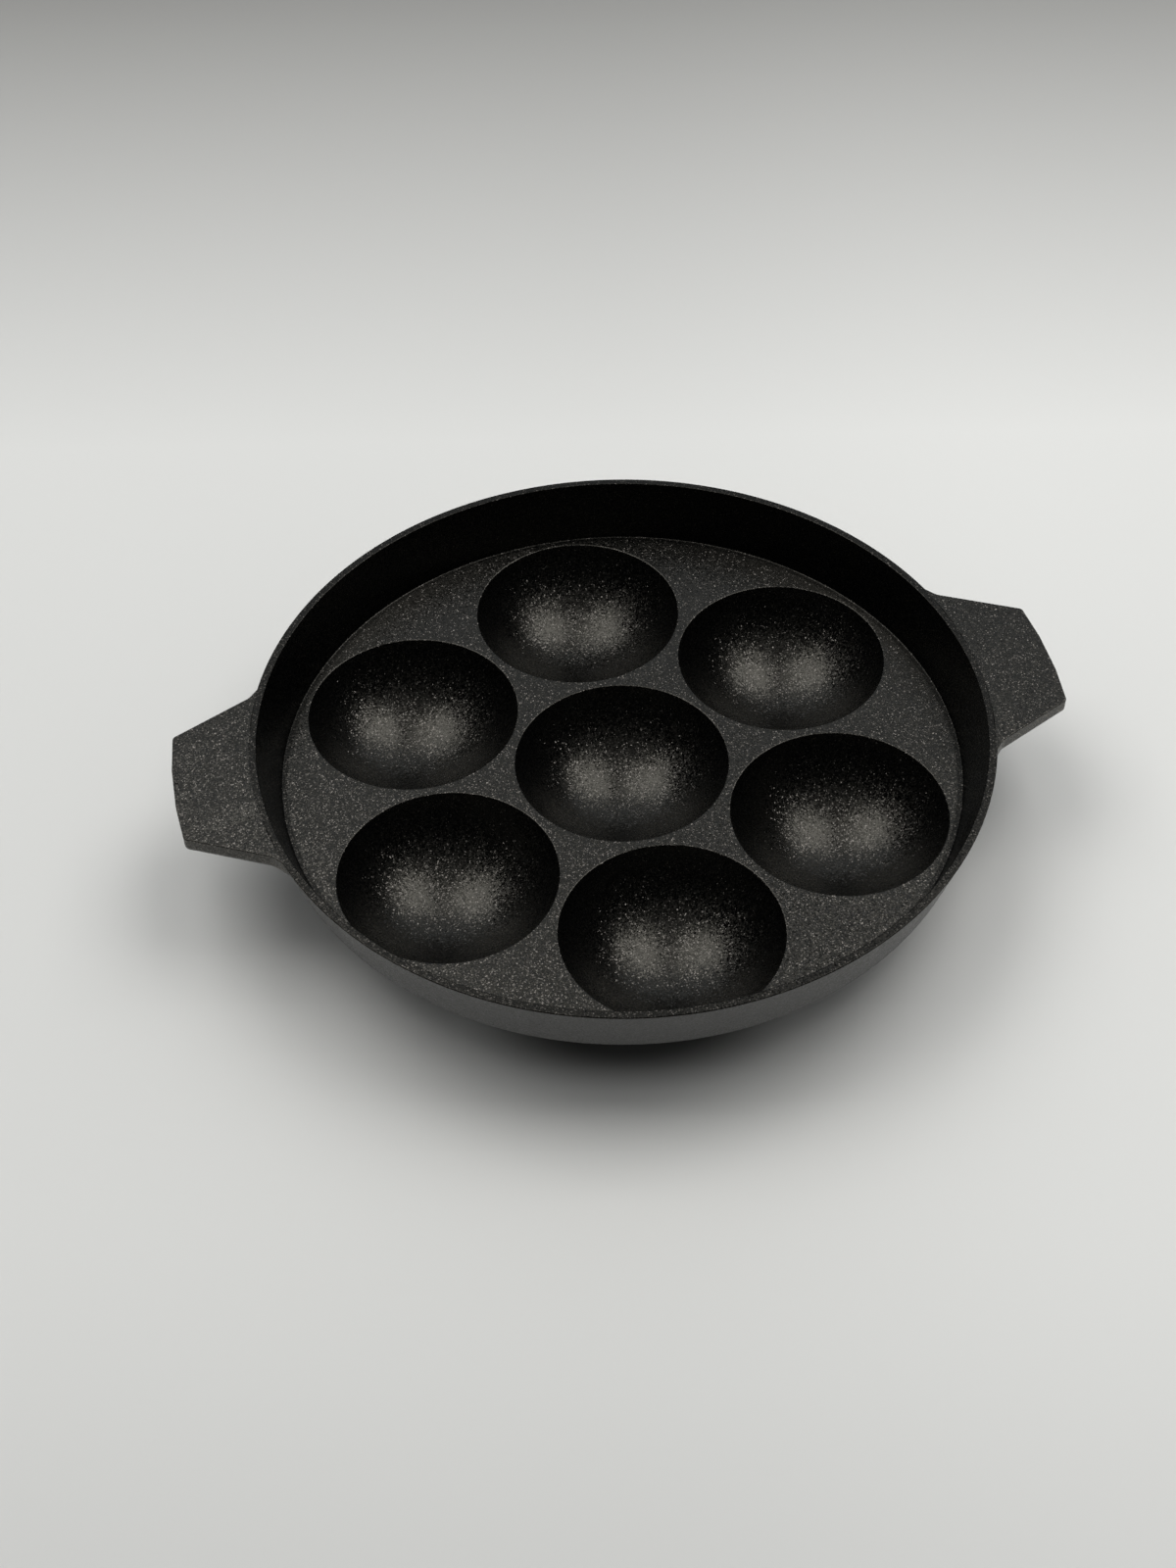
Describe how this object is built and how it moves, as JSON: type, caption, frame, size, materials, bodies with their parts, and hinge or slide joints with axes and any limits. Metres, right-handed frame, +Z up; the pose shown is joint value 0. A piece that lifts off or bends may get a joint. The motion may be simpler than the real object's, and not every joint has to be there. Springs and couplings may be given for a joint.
{
  "type": "aebleskiver pan",
  "caption": "Low round cast pan with bowl-shaped cups in a flat deck, a short drafted wall and two tab handles, for baking round pancakes on a hob.",
  "frame": {"origin": "on the hob under the centre cup, midway between the two handles", "axes": "+X along the two handles, +Z up out of the cups, +Y to the back cup"},
  "size_m": [0.274, 0.2286, 0.0425],
  "materials": {
    "cup_coating": "cast aluminium under a satin charcoal non-stick coating with fine metallic flecks",
    "deck_coating": "cast aluminium under a satin charcoal non-stick coating with fine metallic flecks",
    "wall_coating": "cast aluminium under a satin charcoal non-stick coating",
    "handle_coating": "cast aluminium under a satin charcoal non-stick coating with fine metallic flecks"
  },
  "bodies": {
    "root": {"rim_wall": "wall_coating", "deck": "deck_coating", "centre_cup": "cup_coating", "back_cup": "cup_coating", "back_left_cup": "cup_coating", "front_left_cup": "cup_coating", "front_cup": "cup_coating", "front_right_cup": "cup_coating", "back_right_cup": "cup_coating", "left_handle": "handle_coating", "right_handle": "handle_coating"}
  },
  "joints": []
}
